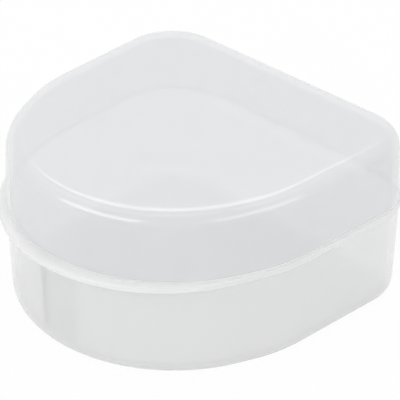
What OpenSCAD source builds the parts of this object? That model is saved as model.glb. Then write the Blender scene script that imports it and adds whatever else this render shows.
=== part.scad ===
// Orthodontic retainer case: a D-shaped hinged box for a retainer or mouthguard.
// Millimetres. Z is up from the table, +Y points to the flat hinged back, -Y to the round nose.
// The stored pose is closed. The lid turns about the pin behind the back wall.

/* [Outline] */
// Width across the back corners at the parting line
case_w = 80; // [78:0.5:90]
// Depth from the round nose to the flat back at the parting line
case_d = 76.4; // [70:0.2:86]
// Radius of the two back corners
corner_r = 14; // [10:0.5:20]
// How far the widest point of the flanks lies inside the case's width
flank_inset = 1.1; // [0.6:0.1:2]
// Distance between the centres of the two flank arcs
flank_apart = 5.6; // [4:0.2:12]
// How much larger the nose's radius is than the flanks' radius
nose_flat = 1.5; // [0:0.1:2.4]
// Half of the angle that the nose's arc spans, in degrees
nose_half = 67; // [50:1:75]

/* [Heights] */
// Height of the base's outer wall, up to the parting line
base_h = 22.7; // [18:0.1:30]
// Height of the lid above the parting line
lid_h = 17.1; // [13:0.1:24]

/* [Walls] */
// Wall thickness of both shells
wall = 1.6; // [1.5:0.1:2.2]
// Floor thickness of the base
floor_t = 1.6; // [1.2:0.1:2.4]
// Thickness of the lid's top panel
top_t = 1.6; // [1.2:0.1:2.4]
// Draft of the base's wall in degrees
base_draft = 1.6; // [0.8:0.1:2.4]
// Draft of the lid's wall in degrees
lid_draft = 2.8; // [1:0.1:3.4]
// Outer rounding along the base's bottom edge
bottom_round = 3; // [2:0.1:5]
// Outer rounding along the lid's top edge
top_round = 3.7; // [2.5:0.1:6]

/* [Rim] */
// Thickness of the base's inner rim
rim_t = 0.75; // [0.6:0.05:0.85]
// Height of the inner rim above the parting line
rim_up = 1; // [0.8:0.1:1.6]
// Clearance between the inner rim and the lid's skirt
rim_clear = 0.1; // [0.08:0.01:0.14]
// Gap between the lid's edge and the base's ledge
parting_gap = 0.1; // [0.05:0.01:0.2]
// How far the edge bead stands out all round the lid
rim_bead = 0.35; // [0.3:0.05:0.5]
// How much smaller the thumb lip's radius is than the nose's radius
lip_tuck = 0.7; // [0.4:0.1:2]
// How far the thumb lip stands out at the nose
lip_reach = 2.3; // [1.5:0.1:4]
// Thickness of the thumb lip and the edge bead
lip_t = 1.2; // [1:0.1:1.6]

/* [Hinge] */
// Length of the row of knuckles
hinge_len = 47; // [36:0.5:49]
// Number of knuckles, base and lid in turn
knuckles = 5; // [3:2:7]
// End gap between one knuckle and the next
knuckle_gap = 0.3; // [0.2:0.05:0.5]
// Outer diameter of the knuckles
barrel_d = 3; // [2.8:0.1:3.2]
// Diameter of the hinge pin
pin_d = 1.4; // [1.2:0.1:1.5]
// How far each end of the pin sits inside the last knuckle
pin_inset = 0.3; // [0.2:0.1:0.6]
// Radial running clearance of the pin in the lid's knuckles
pin_clear = 0.05; // [0.02:0.01:0.1]
// Radial squeeze of the pin in the base's knuckles
pin_press = 0.01; // [0.005:0.005:0.02]
// Distance of the pin's axis behind the back wall
hinge_out = 1; // [0.95:0.05:1.2]
// Clearance round a turning knuckle
swing_clear = 0.25; // [0.2:0.05:0.35]

/* [Latch] */
// Width of the snap tongue at the parting line
tongue_w = 10.6; // [8:0.2:14]
// Height of the tongue's arched top above the parting line
tongue_h = 3.1; // [2.9:0.1:3.8]
// Thickness of the tongue
tongue_t = 1; // [0.8:0.1:1.4]
// Set-back of the tongue from the wall's inner face
tongue_back = 0.5; // [0.48:0.01:0.54]
// How far the snap bead stands out of the tongue
catch_out = 0.3; // [0.2:0.02:0.32]
// How far the lid's snap ledge stands out of the lid's wall
ledge_in = 0.3; // [0.2:0.02:0.32]

/* [Hidden] */
$fn = 96;

// Facets along the outline's arcs and along the roundings
nose_n = 40;
flank_n = 6;
corner_n = 14;
round_n = 6;
// Small chamfer on the moulded edges
edge = 0.2;

total_h = base_h + lid_h;
flank_x = flank_apart / 2;
flank_r = case_w / 2 - flank_inset - flank_x;
nose_r = flank_r + nose_flat;
nose_y = nose_r - case_d / 2;
nose_end = nose_half - 90;
flank_y = nose_y + (nose_flat - flank_x * cos(nose_end)) / sin(nose_end);
corner_x = case_w / 2 - corner_r;
corner_y = case_d / 2 - corner_r;
back_y = case_d / 2;
hinge_y = back_y + hinge_out;
lip_r = nose_r - lip_tuck;
lip_y = lip_r - case_d / 2 - lip_reach;
lid_z = base_h + parting_gap;
skirt_z = lid_z + rim_up;
skirt_t = wall - rim_t - rim_clear;
base_inner_r = max(bottom_round - wall, 1);
lid_inner_r = max(top_round - wall, 1);

// Direction of the outer normal on the straight from one outline circle to the next
function straight_angle(x0, y0, r0, x1, y1, r1) =
    atan2(y1 - y0, x1 - x0) - acos((r0 - r1) / norm([x1 - x0, y1 - y0]));

flank_end = straight_angle(flank_x, flank_y, flank_r, corner_x, corner_y, corner_r);

// Stations round the D, counterclockwise: circle centre, circle radius, direction of the normal
function arc(x, y, r, a0, a1, n) = [for (i = [0:n]) [x, y, r, a0 + (a1 - a0) * i / n]];

stations = concat(
    arc(0, nose_y, nose_r, -180 - nose_end, nose_end, nose_n),
    arc(flank_x, flank_y, flank_r, nose_end, flank_end, flank_n),
    arc(corner_x, corner_y, corner_r, flank_end, 90, corner_n),
    arc(-corner_x, corner_y, corner_r, 90, 180 - flank_end, corner_n),
    arc(-flank_x, flank_y, flank_r, 180 - flank_end, 180 - nose_end, flank_n)
);
count = len(stations);

// How far the lid's edge stands out at a station: the bead, growing into the thumb lip at the nose
function lip_out(s) =
    let (
        dx = s[0] + s[2] * cos(s[3]),
        dy = s[1] + s[2] * sin(s[3]) - lip_y,
        along = dx * cos(s[3]) + dy * sin(s[3]),
        inside = along * along - dx * dx - dy * dy + lip_r * lip_r,
        reach = inside > 0 ? sqrt(inside) - along : 0,
        over = reach - rim_bead
    )
    rim_bead + (over + sqrt(over * over + 0.04)) / 2;

// One ring of the shell, from a profile point [offset, height, share of the lip]
function ring(p) = [
    for (s = stations)
        let (r = s[2] + p[0] + (p[2] == undef ? 0 : p[2] * lip_out(s)))
        [s[0] + r * cos(s[3]), s[1] + r * sin(s[3]), p[1]]
];

// Rounding between a drafted wall through [u0, z0] and a level face, centred at height zc
function bend(u0, z0, draft, zc, r, t0, t1) =
    let (uc = u0 + (zc - z0) * tan(draft) - r / cos(draft))
    [for (i = [0:round_n]) let (t = t0 + (t1 - t0) * i / round_n) [uc + r * cos(t), zc + r * sin(t)]];

// Closed shell swept round the outline through a list of profile points
module shell(profile) {
    points = [for (p = profile) each ring(p)];
    last = len(profile) - 1;
    polyhedron(
        points = points,
        faces = concat(
            [[for (k = [0:count - 1]) k]],
            [for (j = [0:last - 1], k = [0:count - 1])
                let (a = j * count + k, b = j * count + (k + 1) % count)
                [a, a + count, b + count, b]],
            [[for (k = [count - 1:-1:0]) last * count + k]]
        )
    );
}

base_profile = concat(
    bend(0, base_h, base_draft, bottom_round, bottom_round, -90, -base_draft),
    [
        [-edge * tan(base_draft), base_h - edge],
        [-edge, base_h],
        [-wall + rim_t, base_h],
        [-wall + rim_t, base_h + rim_up - edge],
        [-wall + rim_t - edge, base_h + rim_up],
        [-wall + rim_up * tan(base_draft), base_h + rim_up]
    ],
    bend(-wall, base_h, base_draft, floor_t + base_inner_r, base_inner_r, -base_draft, -90)
);

lid_profile = concat(
    bend(-wall, base_h, -lid_draft, total_h - top_t - lid_inner_r, lid_inner_r, 90, lid_draft),
    [
        [-wall - (skirt_z - base_h) * tan(lid_draft), skirt_z],
        [-skirt_t, skirt_z],
        [-skirt_t, lid_z],
        [-edge, lid_z, 1],
        [0, lid_z + edge, 1],
        [0, lid_z + lip_t - edge, 1],
        [-edge, lid_z + lip_t, 1],
        [-(lid_z + lip_t - base_h) * tan(lid_draft), lid_z + lip_t]
    ],
    bend(0, base_h, -lid_draft, total_h - top_round, top_round, lid_draft, 90)
);

// Places along the hinge: even knuckles belong to the base and odd ones to the lid
pitch = (hinge_len + knuckle_gap) / knuckles;
knuckle_len = pitch - knuckle_gap;
leaf_h = barrel_d / 2 - 0.2;
pocket_h = barrel_d / 2 + swing_clear;
pocket_end = 0.8 * knuckle_gap;
function knuckle_x(i) = i * pitch - hinge_len / 2;

module along_hinge(i, d, over) {
    translate([knuckle_x(i) - over, hinge_y, base_h])
        rotate([0, 90, 0])
            cylinder(d = d, h = knuckle_len + 2 * over);
}

module base_leaf(i) {
    translate([knuckle_x(i), back_y - wall / 4, base_h - leaf_h])
        cube([knuckle_len, wall / 4 + hinge_out, leaf_h - edge]);
}

module lid_leaf(i) {
    translate([knuckle_x(i), back_y - wall / 4, lid_z + edge])
        cube([knuckle_len, wall / 4 + hinge_out, leaf_h - parting_gap - edge]);
}

// Room in the base's wall for a lid knuckle
module base_pocket(i) {
    depth = barrel_d / 2 - hinge_out + swing_clear;
    translate([knuckle_x(i) - pocket_end, back_y - depth, base_h - pocket_h])
        cube([knuckle_len + 2 * pocket_end, depth + barrel_d, pocket_h + edge]);
}

// Room in the lid's skirt for a base knuckle
module lid_pocket(i) {
    depth = skirt_t + edge;
    translate([knuckle_x(i) - pocket_end, back_y - depth, lid_z - edge])
        cube([knuckle_len + 2 * pocket_end, depth + barrel_d, pocket_h + edge - parting_gap]);
}

// Snap latch: the tongue's arch, and the heights of the lid's ledge and the tongue's bead
arch_r = (tongue_w * tongue_w / 4 + tongue_h * tongue_h) / (2 * tongue_h);
tongue_out = nose_r - wall - tongue_back;
tongue_in = tongue_out - tongue_t;
tongue_turn = 2 * asin(tongue_w / 2 / tongue_out);
ledge_z = rim_up + parting_gap + 0.1;
catch_z = ledge_z + 0.4;
catch_h = 0.6;

// Sector round the nose circle with a profile of [radius, height]
module nose_sector(turn, profile) {
    translate([0, nose_y, 0])
        rotate([0, 0, -90 - turn / 2])
            rotate_extrude(angle = turn)
                polygon(profile);
}

module tongue() {
    foot_z = floor_t - edge;
    intersection() {
        nose_sector(tongue_turn, [
            [tongue_in, foot_z],
            [nose_r - 0.75 * wall, foot_z],
            [nose_r - 0.75 * wall, base_h + rim_up - edge / 2],
            [tongue_out, base_h + rim_up - edge / 2],
            [tongue_out, base_h + catch_z],
            [tongue_out + catch_out, base_h + catch_z + 0.2],
            [tongue_out + catch_out, base_h + catch_z + catch_h - 0.25],
            [tongue_out, base_h + catch_z + catch_h],
            [tongue_out, base_h + tongue_h + edge],
            [tongue_in, base_h + tongue_h + edge]
        ]);
        union() {
            translate([-tongue_w, -case_d, 0])
                cube([2 * tongue_w, case_d, base_h]);
            translate([0, -case_d, base_h + tongue_h - arch_r])
                rotate([-90, 0, 0])
                    cylinder(r = arch_r, h = case_d);
        }
    }
}

module snap_ledge() {
    face = nose_r - wall - ledge_z * tan(lid_draft) - ledge_in;
    nose_sector(tongue_turn * 0.7, [
        [nose_r - 0.75 * wall, base_h + ledge_z],
        [nose_r - 0.75 * wall, base_h + ledge_z + 0.45],
        [face, base_h + ledge_z + 0.3],
        [face, base_h + ledge_z + 0.15]
    ]);
}

module base() {
    color([0.90, 0.90, 0.91])
    difference() {
        union() {
            difference() {
                shell(base_profile);
                for (i = [1:2:knuckles - 2]) base_pocket(i);
            }
            tongue();
            for (i = [0:2:knuckles - 1]) {
                along_hinge(i, barrel_d, 0);
                base_leaf(i);
            }
        }
        for (i = [0:2:knuckles - 1]) along_hinge(i, pin_d - 2 * pin_press, edge / 2);
    }
}

module lid() {
    color([0.92, 0.92, 0.94])
    difference() {
        union() {
            difference() {
                shell(lid_profile);
                for (i = [0:2:knuckles - 1]) lid_pocket(i);
            }
            snap_ledge();
            for (i = [1:2:knuckles - 2]) {
                along_hinge(i, barrel_d, 0);
                lid_leaf(i);
            }
        }
        for (i = [1:2:knuckles - 2]) along_hinge(i, pin_d + 2 * pin_clear, edge / 2);
    }
}

module hinge_pin() {
    color([0.75, 0.76, 0.78])
    translate([pin_inset - hinge_len / 2, hinge_y, base_h])
        rotate([0, 90, 0])
            cylinder(d = pin_d, h = hinge_len - 2 * pin_inset);
}

base();
lid();
hinge_pin();
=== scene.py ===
import math

import bmesh
import bpy
from mathutils import Matrix, Vector


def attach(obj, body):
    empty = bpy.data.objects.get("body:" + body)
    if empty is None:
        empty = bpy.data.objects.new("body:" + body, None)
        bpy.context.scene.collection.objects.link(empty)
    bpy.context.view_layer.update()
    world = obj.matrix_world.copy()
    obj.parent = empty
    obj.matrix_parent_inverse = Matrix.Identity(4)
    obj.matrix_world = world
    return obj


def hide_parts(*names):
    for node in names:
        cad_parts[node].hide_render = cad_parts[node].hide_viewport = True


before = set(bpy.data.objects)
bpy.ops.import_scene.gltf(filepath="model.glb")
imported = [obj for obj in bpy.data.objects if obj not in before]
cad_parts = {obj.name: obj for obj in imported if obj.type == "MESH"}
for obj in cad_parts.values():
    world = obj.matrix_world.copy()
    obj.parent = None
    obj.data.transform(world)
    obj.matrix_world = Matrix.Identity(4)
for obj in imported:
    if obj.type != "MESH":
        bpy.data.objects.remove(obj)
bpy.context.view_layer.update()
mm = 0.001


# The base tray: one injection moulding of natural polypropylene, D-shaped in plan, with a drafted wall, a
# round bottom edge and a thin inner rim that the lid laps over. Its outline is five arcs joined by
# straights, and the straight at the back carries the hinge.
case_w, case_d = 80 * mm, 76.4 * mm
corner_r, flank_x, flank_in = 14 * mm, 2.8 * mm, 1.1 * mm
nose_x, nose_half = 1.5 * mm, 67
flank_r = case_w / 2 - flank_in - flank_x
nose_r = flank_r + nose_x
back_y = case_d / 2
nose_y = nose_r - back_y
nose_end = math.radians(nose_half - 90)
flank_y = nose_y + (nose_x - flank_x * math.cos(nose_end)) / math.sin(nose_end)
corner_x, corner_y = case_w / 2 - corner_r, back_y - corner_r
reach = Vector((corner_x - flank_x, corner_y - flank_y))
flank_end = math.atan2(reach.y, reach.x) - math.acos((flank_r - corner_r) / reach.length)

base_h, wall, floor_t = 22.7 * mm, 1.6 * mm, 1.6 * mm
rim_t, rim_up, base_draft = 0.75 * mm, 1.0 * mm, 1.6
base_slope = math.tan(math.radians(base_draft))
bottom_round, floor_round = 3 * mm, 1.4 * mm
wall_edge, lap_edge, rim_edge = 0.08 * mm, 0.12 * mm, 0.2 * mm
hinge_len, band_half = 47 * mm, 1.65 * mm
# Rings of points on the flats and next to the parting line keep the roundings' shading off them.
first_ring, last_ring, trim = 0.4 * mm, 1.1 * mm, 0.6 * mm

wall_see, base_white = 0.58, (0.97, 0.971, 0.974)
lap_see, thick_see, thick_glow = 0.96, 0.1, 0.45
# Plain white, whiter than the shells: on the lap joint, rim, bead, lip, ledge, tongue and hinge it is
# painted light, for the light lines and patches there.
painted_light_white = (1, 1, 1)


def frosted_plastic(name, colour, see_through):
    """A moulded plastic, partly see-through: satin gloss, faint cloudy flow and a fine mould grain."""
    cloud = 0.99
    plastic = bpy.data.materials.new(name)
    plastic.use_nodes = True
    nodes, links = plastic.node_tree.nodes, plastic.node_tree.links
    skin = nodes["Principled BSDF"]
    skin.inputs["IOR"].default_value = 1.7
    skin.inputs["Specular IOR Level"].default_value = 1
    skin.inputs["Alpha"].default_value = 1 - see_through
    place = nodes.new("ShaderNodeTexCoord")
    flow = nodes.new("ShaderNodeTexNoise")
    flow.inputs["Scale"].default_value = 60
    flow.inputs["Detail"].default_value = 3
    tint = nodes.new("ShaderNodeMix")
    tint.data_type = "RGBA"
    tint.inputs["A"].default_value = (*[c * cloud for c in colour], 1)
    tint.inputs["B"].default_value = (*colour, 1)
    gloss = nodes.new("ShaderNodeMapRange")
    gloss.inputs["To Min"].default_value = 0.12
    gloss.inputs["To Max"].default_value = 0.17
    grain = nodes.new("ShaderNodeTexNoise")
    grain.inputs["Scale"].default_value = 2500
    grain.inputs["Detail"].default_value = 2
    frost = nodes.new("ShaderNodeBump")
    frost.inputs["Strength"].default_value = 0.05
    frost.inputs["Distance"].default_value = 0.1 * mm
    for source, target in (
        (place.outputs["Object"], flow.inputs["Vector"]),
        (place.outputs["Object"], grain.inputs["Vector"]),
        (flow.outputs["Fac"], tint.inputs["Factor"]),
        (flow.outputs["Fac"], gloss.inputs["Value"]),
        (grain.outputs["Fac"], frost.inputs["Height"]),
        (tint.outputs["Result"], skin.inputs["Base Color"]),
        (gloss.outputs["Result"], skin.inputs["Roughness"]),
        (frost.outputs["Normal"], skin.inputs["Normal"]),
    ):
        links.new(source, target)
    return plastic


def milky_plastic(name, colour, see_through, glow_share):
    """The same plastic where it is thick, lit through from behind; its plain white on the case is painted
    light.
    """
    plastic = frosted_plastic(name, colour, 0)
    nodes, links = plastic.node_tree.nodes, plastic.node_tree.links
    glow = nodes.new("ShaderNodeBsdfTranslucent")
    glow.inputs["Color"].default_value = (*colour, 1)
    clear = nodes.new("ShaderNodeBsdfTransparent")
    milk = nodes.new("ShaderNodeMixShader")
    milk.inputs["Fac"].default_value = glow_share
    haze = nodes.new("ShaderNodeMixShader")
    haze.inputs["Fac"].default_value = see_through
    for source, target in (
        (nodes["Principled BSDF"].outputs[0], milk.inputs[1]),
        (glow.outputs[0], milk.inputs[2]),
        (milk.outputs[0], haze.inputs[1]),
        (clear.outputs[0], haze.inputs[2]),
        (haze.outputs[0], nodes["Material Output"].inputs["Surface"]),
    ):
        links.new(source, target)
    return plastic


base_plastic = frosted_plastic("base plastic", base_white, wall_see)
lap_plastic = frosted_plastic("plastic in the lap joint", painted_light_white, lap_see)
thick_plastic_painted_light = milky_plastic("thick plastic", painted_light_white, thick_see, thick_glow)


def arc_stations(x, y, r, start, end, n):
    """Places along one arc of the outline: centre, radius and direction of the wall's normal."""
    return [(x, y, r, start + (end - start) * i / n) for i in range(n + 1)]


nose_steps, flank_steps, corner_steps = 96, 16, 32
outline = (
    arc_stations(0, nose_y, nose_r, -math.pi - nose_end, nose_end, nose_steps)
    + arc_stations(flank_x, flank_y, flank_r, nose_end, flank_end, flank_steps)
    + arc_stations(corner_x, corner_y, corner_r, flank_end, math.pi / 2, corner_steps)
    + [(x, corner_y, corner_r, math.pi / 2) for x in (hinge_len / 2, -hinge_len / 2)]
    + arc_stations(-corner_x, corner_y, corner_r, math.pi / 2, math.pi - flank_end, corner_steps)
    + arc_stations(-flank_x, flank_y, flank_r, math.pi - flank_end, math.pi - nose_end, flank_steps)
)


def rounded(corners, n=5):
    """A wall section as points with the number of their corner; each corner is (offset, height, radius)."""
    points = []
    for i, (u, z, r) in enumerate(corners):
        here = Vector((u, z))
        if r == 0:
            points.append((here, i))
            continue
        before = (Vector(corners[i - 1][:2]) - here).normalized()
        after = (Vector(corners[i + 1][:2]) - here).normalized()
        half = before.angle(after) / 2
        centre = here + (before + after).normalized() * (r / math.sin(half))
        first = here + before * (r / math.tan(half)) - centre
        last = here + after * (r / math.tan(half)) - centre
        turn = first.angle_signed(last)
        steps = n if r < 1 * mm else 3 * n
        for k in range(steps + 1):
            points.append((centre + Matrix.Rotation(-turn * k / steps, 2) @ first, i))
    return points


def as_object(name, bm, *plastics):
    """A finished bmesh as an object at the origin, with its place in its mesh."""
    mesh = bpy.data.meshes.new(name)
    for plastic in plastics:
        mesh.materials.append(plastic)
    bm.to_mesh(mesh)
    bm.free()
    made = bpy.data.objects.new(name, mesh)
    bpy.context.scene.collection.objects.link(made)
    return made


def sweep_shell(name, section, plastic, *zones):
    """A closed shell: section(station) swept round the outline, with both of its ends filled flat.

    Each zone is a plastic and where it begins and ends: 4 is the rounding at corner 4 of the section,
    and 4.5 the flat from there to corner 5.
    """
    bm = bmesh.new()
    rings = []
    for x, y, r, a in outline:
        rings.append([
            bm.verts.new((x + (r + u) * math.cos(a), y + (r + u) * math.sin(a), z))
            for (u, z), _ in section((x, y, r, a))
        ])
    corners = [corner for _, corner in section(outline[0])]
    plastics, finish = [plastic], []
    for here, there in zip(corners, corners[1:]):
        chosen = plastic
        for zone, first, last in zones:
            if first <= (here + there) / 2 <= last:
                chosen = zone
        if chosen not in plastics:
            plastics.append(chosen)
        finish.append(plastics.index(chosen))
    for left, right in zip(rings, rings[1:] + rings[:1]):
        for k, index in enumerate(finish):
            bm.faces.new((left[k], right[k], right[k + 1], left[k + 1])).material_index = index
    bm.faces.new([ring[0] for ring in reversed(rings)]).material_index = finish[0]
    bm.faces.new([ring[-1] for ring in rings]).material_index = finish[-1]
    return as_object(name, bm, *plastics)


def base_section(station):
    """The base's wall from the underside over the rim and down to the floor."""
    outer_foot = -base_h * base_slope
    inner_foot = -wall - (base_h - floor_t) * base_slope
    return rounded([
        (outer_foot - bottom_round - last_ring, 0, 0),
        (outer_foot - bottom_round - first_ring, 0, 0),
        (outer_foot, 0, bottom_round),
        (-trim * base_slope, base_h - trim, 0),
        (0, base_h, wall_edge),
        (-wall + rim_t, base_h, lap_edge),
        (-wall + rim_t, base_h + rim_up, rim_edge),
        (-wall + rim_up * base_slope, base_h + rim_up, rim_edge),
        (-wall - band_half * base_slope, base_h - band_half, 0),
        (inner_foot, floor_t, floor_round),
        (inner_foot - floor_round - first_ring, floor_t, 0),
        (inner_foot - floor_round - last_ring, floor_t, 0),
    ])


# The rim's top is in the whiter thick plastic: partly the milkier thick edge, partly painted light for
# the light rim line.
base_zones = (lap_plastic, 4.5, 5.5), (thick_plastic_painted_light, 6.5, 6.5)
base_tray = sweep_shell("base_tray", base_section, base_plastic, *base_zones)


# The gate mark: a shallow dish under the middle of the floor, with the short stub where the plastic was let
# into the mould. The stub is shorter than the dish is deep, so the tray stands flat.
gate_r, gate_deep, stub_r, stub_len = 4 * mm, 0.35 * mm, 0.8 * mm, 0.25 * mm
bite = 0.1 * mm


def turned(name, profile, axis, centre, plastic, sides=64):
    """A solid turned about X, Y or Z; profile lists (place along the axis, radius) from end to end."""
    bm = bmesh.new()
    rings = []
    for along, r in profile:
        rings.append([
            bm.verts.new((r * math.cos(math.tau * i / sides), r * math.sin(math.tau * i / sides), along))
            for i in range(sides)
        ])
    for low, high in zip(rings, rings[1:]):
        for i in range(sides):
            j = (i + 1) % sides
            bm.faces.new((low[i], low[j], high[j], high[i]))
    bm.faces.new(list(reversed(rings[0])))
    bm.faces.new(rings[-1])
    if axis != "Z":
        turn = Matrix.Rotation(math.pi / 2, 3, "Y" if axis == "X" else "X")
        bmesh.ops.rotate(bm, matrix=turn, verts=bm.verts)
    bmesh.ops.translate(bm, vec=centre, verts=bm.verts)
    return as_object(name, bm, plastic)


def settle(piece):
    """Replaces a piece's mesh by the result of its modifiers."""
    depsgraph = bpy.context.evaluated_depsgraph_get()
    result = bpy.data.meshes.new_from_object(piece.evaluated_get(depsgraph))
    piece.modifiers.clear()
    piece.data = result


def join_or_cut(piece, tool, operation):
    """Joins a tool on to a piece (UNION) or cuts it away (DIFFERENCE), and uses the tool up."""
    change = piece.modifiers.new(operation, "BOOLEAN")
    change.operation, change.object, change.solver = operation, tool, "EXACT"
    change.material_mode = "TRANSFER"
    settle(piece)
    bpy.data.objects.remove(tool)


dish = [(-gate_deep, gate_r + gate_deep), (gate_deep, gate_r)]
gate_dish = turned("gate_dish", dish, "Z", (0, 0, 0), base_plastic)
join_or_cut(base_tray, gate_dish, "DIFFERENCE")
stub = [(gate_deep - stub_len, stub_r), (gate_deep + bite, stub_r)]
gate_stub = turned("gate_stub", stub, "Z", (0, 0, 0), base_plastic)
join_or_cut(base_tray, gate_stub, "UNION")


# The snap tongue: a pad inside the nose of the base that runs up from the floor and ends above the rim in
# an arched top. A low bead across its outer face snaps behind a ledge in the lid.
tongue_half, tongue_h, tongue_t, tongue_gap = 5.3 * mm, 3.1 * mm, 1 * mm, 0.5 * mm
tongue_out = nose_r - wall - tongue_gap
tongue_in = tongue_out - tongue_t
wall_root = nose_r - 0.75 * wall
tongue_foot, tongue_step = floor_t - 2 * bite, base_h + rim_up - bite
tongue_top = base_h + tongue_h + 2 * bite
arch_r = (tongue_half ** 2 + tongue_h ** 2) / (2 * tongue_h)
catch_foot, catch_out = base_h + 1.6 * mm, 0.3 * mm
catch_low, catch_high, catch_top = catch_foot + 0.2 * mm, catch_foot + 0.35 * mm, catch_foot + 0.6 * mm
# The pad's plastic is darker and less see-through than the base's: painted shade for the light that
# the thick pad keeps back. The tongue above the rim is painted white, painted light.
pad_painted_shade_white, pad_see, tongue_see, tongue_glow = (0.72, 0.72, 0.723), 0.45, 0, 0.9
pad_plastic = frosted_plastic("pad plastic", pad_painted_shade_white, pad_see)
tongue_plastic_painted_light = milky_plastic("tongue plastic", painted_light_white, tongue_see, tongue_glow)


def nose_sector(name, turn, section, plastics, n=24):
    """A solid turned about the nose's centre by an angle, with a closed section of (radius, height)."""
    bm = bmesh.new()
    rings = []
    for i in range(n + 1):
        a = turn * (i / n - 0.5)
        rings.append([bm.verts.new((r * math.sin(a), nose_y - r * math.cos(a), z)) for r, z in section])
    for left, right in zip(rings, rings[1:]):
        for k in range(len(section)):
            j = (k + 1) % len(section)
            bm.faces.new((left[k], right[k], right[j], left[j]))
    bm.faces.new(list(reversed(rings[0])))
    bm.faces.new(rings[-1])
    bmesh.ops.recalc_face_normals(bm, faces=bm.faces)
    return as_object(name, bm, *plastics)


def block(low, high, plastic):
    """A plain box, to be joined on or cut away."""
    bm = bmesh.new()
    bmesh.ops.create_cube(bm, size=1)
    size = Vector(high) - Vector(low)
    bmesh.ops.scale(bm, vec=size, verts=bm.verts)
    bmesh.ops.translate(bm, vec=Vector(low) + size / 2, verts=bm.verts)
    return as_object("block", bm, plastic)


tongue = nose_sector("tongue", 2 * math.asin(tongue_half / tongue_out), [
    (tongue_in, tongue_foot),
    (wall_root, tongue_foot),
    (wall_root, tongue_step),
    (tongue_out, tongue_step),
    (tongue_out, catch_foot),
    (tongue_out + catch_out, catch_low),
    (tongue_out + catch_out, catch_high),
    (tongue_out, catch_top),
    (tongue_out, tongue_top),
    (tongue_in, tongue_top),
], (pad_plastic, tongue_plastic_painted_light))
# Below the rim the pad takes the painted-shade plastic, above it the tongue takes the painted-light one.
for face in tongue.data.polygons:
    face.material_index = int(face.center.z > base_h)
cut_half, cut_size = 9 * mm, 8 * mm
cut_low, cut_high = (-cut_half, -back_y, base_h), (cut_half, -back_y + cut_size, base_h + cut_size)
shoulders = block(cut_low, cut_high, tongue_plastic_painted_light)
arch_y, arch_z = -back_y + cut_size / 2, base_h + tongue_h - arch_r
arch_face = arch_y - nose_y + tongue_out
arch_edge = (-0.6 * mm, 0), (-0.25 * mm, 0.13 * mm), (0, 0.4 * mm), (0.5 * mm, 1.4 * mm)
arch_profile = [(-cut_size, arch_r)] + [(arch_face + along, arch_r - down) for along, down in arch_edge]
arch = turned("arch", arch_profile, "Y", (0, arch_y, arch_z), tongue_plastic_painted_light, sides=128)
join_or_cut(shoulders, arch, "DIFFERENCE")
join_or_cut(tongue, shoulders, "DIFFERENCE")
join_or_cut(base_tray, tongue, "UNION")


# The base's half of the hinge: three knuckles of five on the flat back, moulded with the tray. Each stands
# on a short leaf, and the lid's knuckles turn in pockets cut between them.
knuckle_count, knuckle_gap = 5, 0.3 * mm
barrel_r, hinge_y = 1.5 * mm, back_y + 1 * mm
pin_r, pin_press, pin_clear = 0.7 * mm, 0.01 * mm, 0.05 * mm
barrel_edge, leaf_root, leaf_side, leaf_gap = 0.15 * mm, wall / 4, 0.05 * mm, 0.2 * mm
pocket_side, pocket_more, pocket_out, base_pocket = 0.24 * mm, 0.25 * mm, 3 * mm, 0.75 * mm
pitch = (hinge_len + knuckle_gap) / knuckle_count
knuckle_len = pitch - knuckle_gap
leaf_h, pocket_h = barrel_r - leaf_gap, barrel_r + pocket_more
knuckle_x = [i * pitch - hinge_len / 2 for i in range(knuckle_count)]
base_knuckles, lid_knuckles = range(0, knuckle_count, 2), range(1, knuckle_count, 2)

# The hinge's plastic is plain white, whiter than the shells: on the knuckles partly their milky thickness,
# partly painted light; on the inside of the back wall along the hinge, a painted light band.
hinge_see, hinge_glow = 0.2, 0.9
hinge_plastic_painted_light = milky_plastic("hinge plastic", painted_light_white, hinge_see, hinge_glow)

row_tree = bpy.data.node_groups.new("knuckle row", "GeometryNodeTree")
for name, kind in (
    ("Count", "Int"), ("First", "Float"), ("Spacing", "Float"), ("Axis Y", "Float"), ("Axis Z", "Float"),
    ("Knuckle", "Object"), ("Plastic", "Material"),
):
    row_tree.interface.new_socket(name, in_out="INPUT", socket_type="NodeSocket" + kind)
row_tree.interface.new_socket("Row", in_out="OUTPUT", socket_type="NodeSocketGeometry")
given, made = row_tree.nodes.new("NodeGroupInput"), row_tree.nodes.new("NodeGroupOutput")
start, step = row_tree.nodes.new("ShaderNodeCombineXYZ"), row_tree.nodes.new("ShaderNodeCombineXYZ")
places = row_tree.nodes.new("GeometryNodeMeshLine")
pattern = row_tree.nodes.new("GeometryNodeObjectInfo")
copies = row_tree.nodes.new("GeometryNodeInstanceOnPoints")
real = row_tree.nodes.new("GeometryNodeRealizeInstances")
dressed = row_tree.nodes.new("GeometryNodeSetMaterial")
for source, target in (
    (given.outputs["First"], start.inputs["X"]),
    (given.outputs["Axis Y"], start.inputs["Y"]),
    (given.outputs["Axis Z"], start.inputs["Z"]),
    (given.outputs["Spacing"], step.inputs["X"]),
    (given.outputs["Count"], places.inputs["Count"]),
    (start.outputs["Vector"], places.inputs["Start Location"]),
    (step.outputs["Vector"], places.inputs["Offset"]),
    (given.outputs["Knuckle"], pattern.inputs["Object"]),
    (places.outputs["Mesh"], copies.inputs["Points"]),
    (pattern.outputs["Geometry"], copies.inputs["Instance"]),
    (copies.outputs["Instances"], real.inputs["Geometry"]),
    (real.outputs["Geometry"], dressed.inputs["Geometry"]),
    (given.outputs["Plastic"], dressed.inputs["Material"]),
    (dressed.outputs["Geometry"], made.inputs["Row"]),
):
    row_tree.links.new(source, target)


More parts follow.
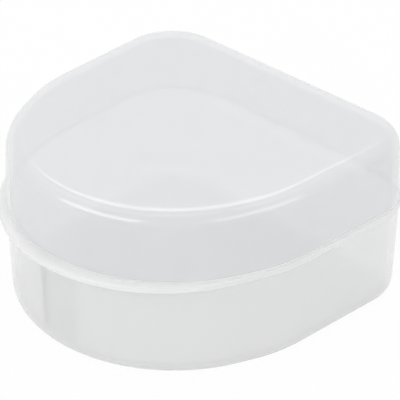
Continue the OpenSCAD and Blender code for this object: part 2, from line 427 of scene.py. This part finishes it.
def knuckle_row(name, numbers, half_len, radius, edge, plastic):
    """The knuckles with these numbers, or their bores, as one mesh of rods along the hinge's axis."""
    profile = [(-half_len, radius), (half_len, radius)]
    if edge:
        inner = half_len - edge
        profile = [(-half_len, radius - edge), (-inner, radius), (inner, radius), (half_len, radius - edge)]
    pattern_rod = turned("knuckle", profile, "X", (0, 0, 0), plastic)
    row = as_object(name, bmesh.new())
    grow = row.modifiers.new("row", "NODES")
    grow.node_group = row_tree
    values = {
        "Count": len(numbers), "First": knuckle_x[numbers[0]] + knuckle_len / 2, "Spacing": 2 * pitch,
        "Axis Y": hinge_y, "Axis Z": base_h, "Knuckle": pattern_rod, "Plastic": plastic,
    }
    for item in row_tree.interface.items_tree:
        if item.in_out == "INPUT":
            grow[item.identifier] = values[item.name]
    settle(row)
    bpy.data.objects.remove(pattern_rod)
    return row


def cut_pockets(piece, numbers, deep, low_z, high_z):
    """Cuts the room into a shell's back in which the other shell's knuckles turn."""
    for i in numbers:
        low = (knuckle_x[i] - pocket_side, back_y - deep, low_z)
        high = (knuckle_x[i] + knuckle_len + pocket_side, back_y + pocket_out, high_z)
        join_or_cut(piece, block(low, high, lap_plastic), "DIFFERENCE")


def add_knuckles(piece, numbers, low_z, high_z, bore_r):
    """Joins leaves and knuckles on to a shell's back, and drills them for the pin."""
    for i in numbers:
        low = (knuckle_x[i] + leaf_side, back_y - leaf_root, low_z)
        high = (knuckle_x[i] + knuckle_len - leaf_side, hinge_y, high_z)
        join_or_cut(piece, block(low, high, hinge_plastic_painted_light), "UNION")
    barrels = knuckle_row("barrels", numbers, knuckle_len / 2, barrel_r, barrel_edge, hinge_plastic_painted_light)
    join_or_cut(piece, barrels, "UNION")
    bores = knuckle_row("bores", numbers, knuckle_len / 2 + bite, bore_r, 0, lap_plastic)
    join_or_cut(piece, bores, "DIFFERENCE")


def paint_hinge_band_light(piece):
    """Paints the inside of the back wall along the hinge in the hinge's whiter plastic: a painted light
    band.
    """
    piece.data.materials.append(hinge_plastic_painted_light)
    for face in piece.data.polygons:
        x, y, z = face.center
        if abs(x) < hinge_len / 2 and -2 * wall < y - back_y < -0.9 * wall and abs(z - base_h) < band_half:
            face.material_index = len(piece.data.materials) - 1


def finish_piece(piece, body, node):
    """Smooth faces with sharp creases, and the piece's place in the part."""
    crease = math.radians(35)
    piece.data.shade_smooth()
    piece.data.set_sharp_from_angle(angle=crease)
    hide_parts(node)
    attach(piece, body)


# A painted light band along the hinge, on the base's wall.
paint_hinge_band_light(base_tray)
cut_pockets(base_tray, lid_knuckles, base_pocket, base_h - pocket_h, base_h + leaf_gap)
add_knuckles(base_tray, base_knuckles, base_h - leaf_h, base_h - leaf_gap, pin_r - pin_press)
finish_piece(base_tray, "base_body", "base")


# The lid: a second moulding with the same outline, a flat top with a broad round edge, a skirt that laps
# over the base's rim, and an edge bead that grows into a crescent thumb lip at the nose.
lid_h, top_t, lip_t = 17.1 * mm, 1.6 * mm, 1.2 * mm
total_h = base_h + lid_h
lid_gap, lap_gap, drip, lid_draft = 0.03 * mm, 0.1 * mm, 0.12 * mm, 2.8
lid_z = base_h + lid_gap
skirt_z = lid_z + rim_up
skirt_t = wall - rim_t - lap_gap
lid_slope = math.tan(math.radians(lid_draft))
top_round, ceiling_round = 3.7 * mm, 2.1 * mm
skirt_edge, bead_edge, lip_round, lip_soft = 0.15 * mm, 0.2 * mm, 0.35 * mm, 0.4
rim_bead, lip_reach, lip_tighter, lip_blend = 0.35 * mm, 2.3 * mm, 0.7 * mm, 0.2 * mm
lip_r = nose_r - lip_tighter
lip_y = lip_r - back_y - lip_reach
# The lid's copy of the plastic is painted darker than the base's: painted shade that offsets the
# stronger light from above on the lid.
lid_white_painted_darker, lid_see = (0.862, 0.867, 0.884), 0.54
lid_plastic = frosted_plastic("lid plastic", lid_white_painted_darker, lid_see)


def lip_out(station):
    """How far the lid's edge stands out here: the bead, or the thumb lip's arc where that is further out."""
    x, y, r, a = station
    dx, dy = x + r * math.cos(a), y + r * math.sin(a) - lip_y
    along = dx * math.cos(a) + dy * math.sin(a)
    inside = along * along - dx * dx - dy * dy + lip_r * lip_r
    over = (math.sqrt(inside) - along if inside > 0 else 0) - rim_bead
    return rim_bead + (over + math.sqrt(over * over + lip_blend * lip_blend)) / 2


def lid_section(station):
    """The lid's wall from the ceiling down to the skirt, round the lip, and up to the top."""
    lip = lip_out(station)
    soft = min(lip_round, lip_soft * lip)
    inner_top = -wall - (lid_h - top_t) * lid_slope
    outer_top = -lid_h * lid_slope
    lip_top = lid_z + lip_t
    return rounded([
        (inner_top - ceiling_round - last_ring, total_h - top_t, 0),
        (inner_top - ceiling_round - first_ring, total_h - top_t, 0),
        (inner_top, total_h - top_t, ceiling_round),
        (-wall - (skirt_z + trim - base_h) * lid_slope, skirt_z + trim, 0),
        (-wall - (skirt_z - base_h) * lid_slope, skirt_z, skirt_edge),
        (-skirt_t, skirt_z, lap_edge),
        (-skirt_t, lid_z, skirt_edge),
        (lid_gap, lid_z, 0),
        (lid_gap, base_h - drip, 0),
        (lip, base_h - drip, bead_edge),
        (lip, lip_top, soft),
        (-(lip_top - base_h) * lid_slope, lip_top, lip_soft * soft),
        (-(lip_top + trim - base_h) * lid_slope, lip_top + trim, 0),
        (outer_top, total_h, top_round),
        (outer_top - top_round - first_ring, total_h, 0),
        (outer_top - top_round - last_ring, total_h, 0),
    ])


# The bead and thumb lip are in the whiter thick plastic: partly the milkier thick edge, partly painted
# light for the light lines along the rim.
lid_zones = (lap_plastic, 4.5, 6.5), (thick_plastic_painted_light, 7.5, 11.5)
lid_shell = sweep_shell("lid_shell", lid_section, lid_plastic, *lid_zones)


# The snap ledge inside the lid's nose, behind which the tongue's bead catches, and the three round marks
# that the mould's ejector pins left in the ceiling. All of them are moulded with the lid.
ledge_z, ledge_in, ledge_t, ledge_slant = base_h + 1.2 * mm, 0.3 * mm, 0.45 * mm, 0.15 * mm
ledge_share = 0.7
ledge_half = ledge_share * math.asin(tongue_half / tongue_out)
ledge_face = nose_r - wall - (ledge_z - base_h) * lid_slope - ledge_in
# The ledge is in the whiter thick plastic: a painted light line in front of the tongue.
snap_ledge = nose_sector("snap_ledge", 2 * ledge_half, [
    (ledge_face, ledge_z + ledge_slant),
    (wall_root, ledge_z),
    (wall_root, ledge_z + ledge_t),
    (ledge_face, ledge_z + ledge_t - ledge_slant),
], (thick_plastic_painted_light,))
join_or_cut(lid_shell, snap_ledge, "UNION")

ejector_r, ejector_deep = 5 * mm, 0.12 * mm
ejector_places = (0, -26.5 * mm), (-27 * mm, 24 * mm), (27 * mm, 24 * mm)
dent = [(-ejector_deep, ejector_r), (ejector_deep, ejector_r)]
for x, y in ejector_places:
    ejector_mark = turned("ejector_mark", dent, "Z", (x, y, total_h - top_t), lid_plastic)
    join_or_cut(lid_shell, ejector_mark, "DIFFERENCE")


# The lid's half of the hinge: two knuckles on leaves that turn in the base's pockets, drilled a little wider
# so that they run free on the pin.
lid_pocket = skirt_t + 0.2 * mm
# A painted light band along the hinge, on the lid's wall.
paint_hinge_band_light(lid_shell)
cut_pockets(lid_shell, base_knuckles, lid_pocket, lid_z - leaf_gap, base_h + pocket_h)
add_knuckles(lid_shell, lid_knuckles, lid_z + leaf_gap, base_h + leaf_h, pin_r + pin_clear)
finish_piece(lid_shell, "lid_body", "lid")


# The hinge pin: a plain drawn rod of white plastic, pressed into the base's knuckles from one end. Its shape
# is the one from the construction, so only its finish is made here.
pin_white, pin_see, pin_glow = (0.97, 0.97, 0.97), 0.1, 0.3
pin_plastic = milky_plastic("pin plastic", pin_white, pin_see, pin_glow)
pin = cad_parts["hinge_pin"]
pin.data.materials.clear()
pin.data.materials.append(pin_plastic)


# The table: a wide sheet of white card under the case. To the camera it is white, faintly shaded by the
# case, and less white where it is seen through the plastic.
table_half, table_drop = 3, 0.02 * mm
card_white, white_share, white_through = 0.88, 0.95, 0.3
table_bm = bmesh.new()
bmesh.ops.create_grid(table_bm, x_segments=1, y_segments=1, size=table_half)
bmesh.ops.translate(table_bm, vec=(0, 0, -table_drop), verts=table_bm.verts)
card = bpy.data.materials.new("white card")
card.use_nodes = True
table = as_object("table", table_bm, card)


def larger(nodes, links, first, second):
    """The larger of two values."""
    node = nodes.new("ShaderNodeMath")
    node.operation = "MAXIMUM"
    links.new(first, node.inputs[0])
    links.new(second, node.inputs[1])
    return node.outputs[0]


def times(nodes, links, first, second):
    """The product of a value with another value or with a number."""
    node = nodes.new("ShaderNodeMath")
    node.operation = "MULTIPLY"
    links.new(first, node.inputs[0])
    if isinstance(second, float):
        node.inputs[1].default_value = second
    else:
        links.new(second, node.inputs[1])
    return node.outputs[0]


nodes, links = card.node_tree.nodes, card.node_tree.links
nodes.clear()
ray = nodes.new("ShaderNodeLightPath")
behind = nodes.new("ShaderNodeMapRange")
behind.inputs["To Min"].default_value = 1
behind.inputs["To Max"].default_value = white_through
links.new(ray.outputs["Transparent Depth"], behind.inputs["Value"])
straight = times(nodes, links, behind.outputs["Result"], ray.outputs["Is Camera Ray"])
mirrored = larger(nodes, links, ray.outputs["Is Glossy Ray"], ray.outputs["Is Transmission Ray"])
shown = times(nodes, links, larger(nodes, links, straight, mirrored), white_share)
paper = nodes.new("ShaderNodeBsdfDiffuse")
paper.inputs["Color"].default_value = (card_white, card_white, card_white, 1)
blank = nodes.new("ShaderNodeEmission")
both = nodes.new("ShaderNodeMixShader")
out = nodes.new("ShaderNodeOutputMaterial")
links.new(shown, both.inputs["Fac"])
links.new(paper.outputs[0], both.inputs[1])
links.new(blank.outputs[0], both.inputs[2])
links.new(both.outputs[0], out.inputs["Surface"])


# The studio: an even white room, a soft box above and behind that draws the light line along the lid's round
# edge, and two soft boxes, left and right of the camera, that light the walls and draw the streaks on them.
room_light, case_middle = 0.775, Vector((0, 0, 20 * mm))
world = bpy.data.worlds.new("studio")
bpy.context.scene.world = world
world.use_nodes = True
nodes, links = world.node_tree.nodes, world.node_tree.links
nodes.clear()
ray = nodes.new("ShaderNodeLightPath")
mirrored = larger(nodes, links, ray.outputs["Is Glossy Ray"], ray.outputs["Is Transmission Ray"])
shown = larger(nodes, links, ray.outputs["Is Camera Ray"], mirrored)
room = nodes.new("ShaderNodeBackground")
room.inputs["Color"].default_value = (1, 1, 1, 1)
room.inputs["Strength"].default_value = room_light
blank = nodes.new("ShaderNodeBackground")
blank.inputs["Color"].default_value = (1, 1, 1, 1)
both = nodes.new("ShaderNodeMixShader")
out = nodes.new("ShaderNodeOutputWorld")
links.new(shown, both.inputs["Fac"])
links.new(room.outputs[0], both.inputs[1])
links.new(blank.outputs[0], both.inputs[2])
links.new(both.outputs[0], out.inputs["Surface"])


def soft_box(name, place, width, depth, power):
    """A soft box lamp that faces the case."""
    lamp = bpy.data.lights.new(name, "AREA")
    lamp.shape, lamp.size, lamp.size_y, lamp.energy = "RECTANGLE", width, depth, power
    box = bpy.data.objects.new(name, lamp)
    box.location = place
    box.rotation_euler = (case_middle - Vector(place)).to_track_quat("-Z", "Y").to_euler()
    bpy.context.scene.collection.objects.link(box)


soft_box("top box", (-0.351, 0.345, 0.63), width=0.36, depth=0.4, power=0.9)
soft_box("left box", (-0.11, -0.74, 0.55), width=0.85, depth=0.3, power=1.7)
soft_box("right box", (0.74, 0.12, 0.55), width=0.85, depth=0.3, power=1.05)


# The camera, where the photograph was taken from: in front and to the right of the case, looking down on it.
# Its lens is shifted, which sets the case where it is in the picture.
azimuth, elevation, roll = math.radians(45.45), math.radians(32.1), math.radians(-0.27)
aim, distance = Vector((0, 0, 19 * mm)), 432.7 * mm
back = Vector((
    math.sin(azimuth) * math.cos(elevation),
    -math.cos(azimuth) * math.cos(elevation),
    math.sin(elevation),
))
level = Vector((0, 0, 1)).cross(back).normalized()
upright = back.cross(level)
right = level * math.cos(roll) + upright * math.sin(roll)
up = upright * math.cos(roll) - level * math.sin(roll)
eye = aim + back * distance
lens = bpy.data.cameras.new("camera")
lens.lens, lens.sensor_width = 173.8, 36
lens.shift_x, lens.shift_y = 0.058, 0.0178
lens.clip_start, lens.clip_end = 0.01, 20
camera = bpy.data.objects.new("camera", lens)
camera.matrix_world = Matrix((
    (right.x, up.x, back.x, eye.x),
    (right.y, up.y, back.y, eye.y),
    (right.z, up.z, back.z, eye.z),
    (0, 0, 0, 1),
))
bpy.context.scene.collection.objects.link(camera)
bpy.context.scene.camera = camera
bpy.context.scene.view_settings.view_transform = "Standard"
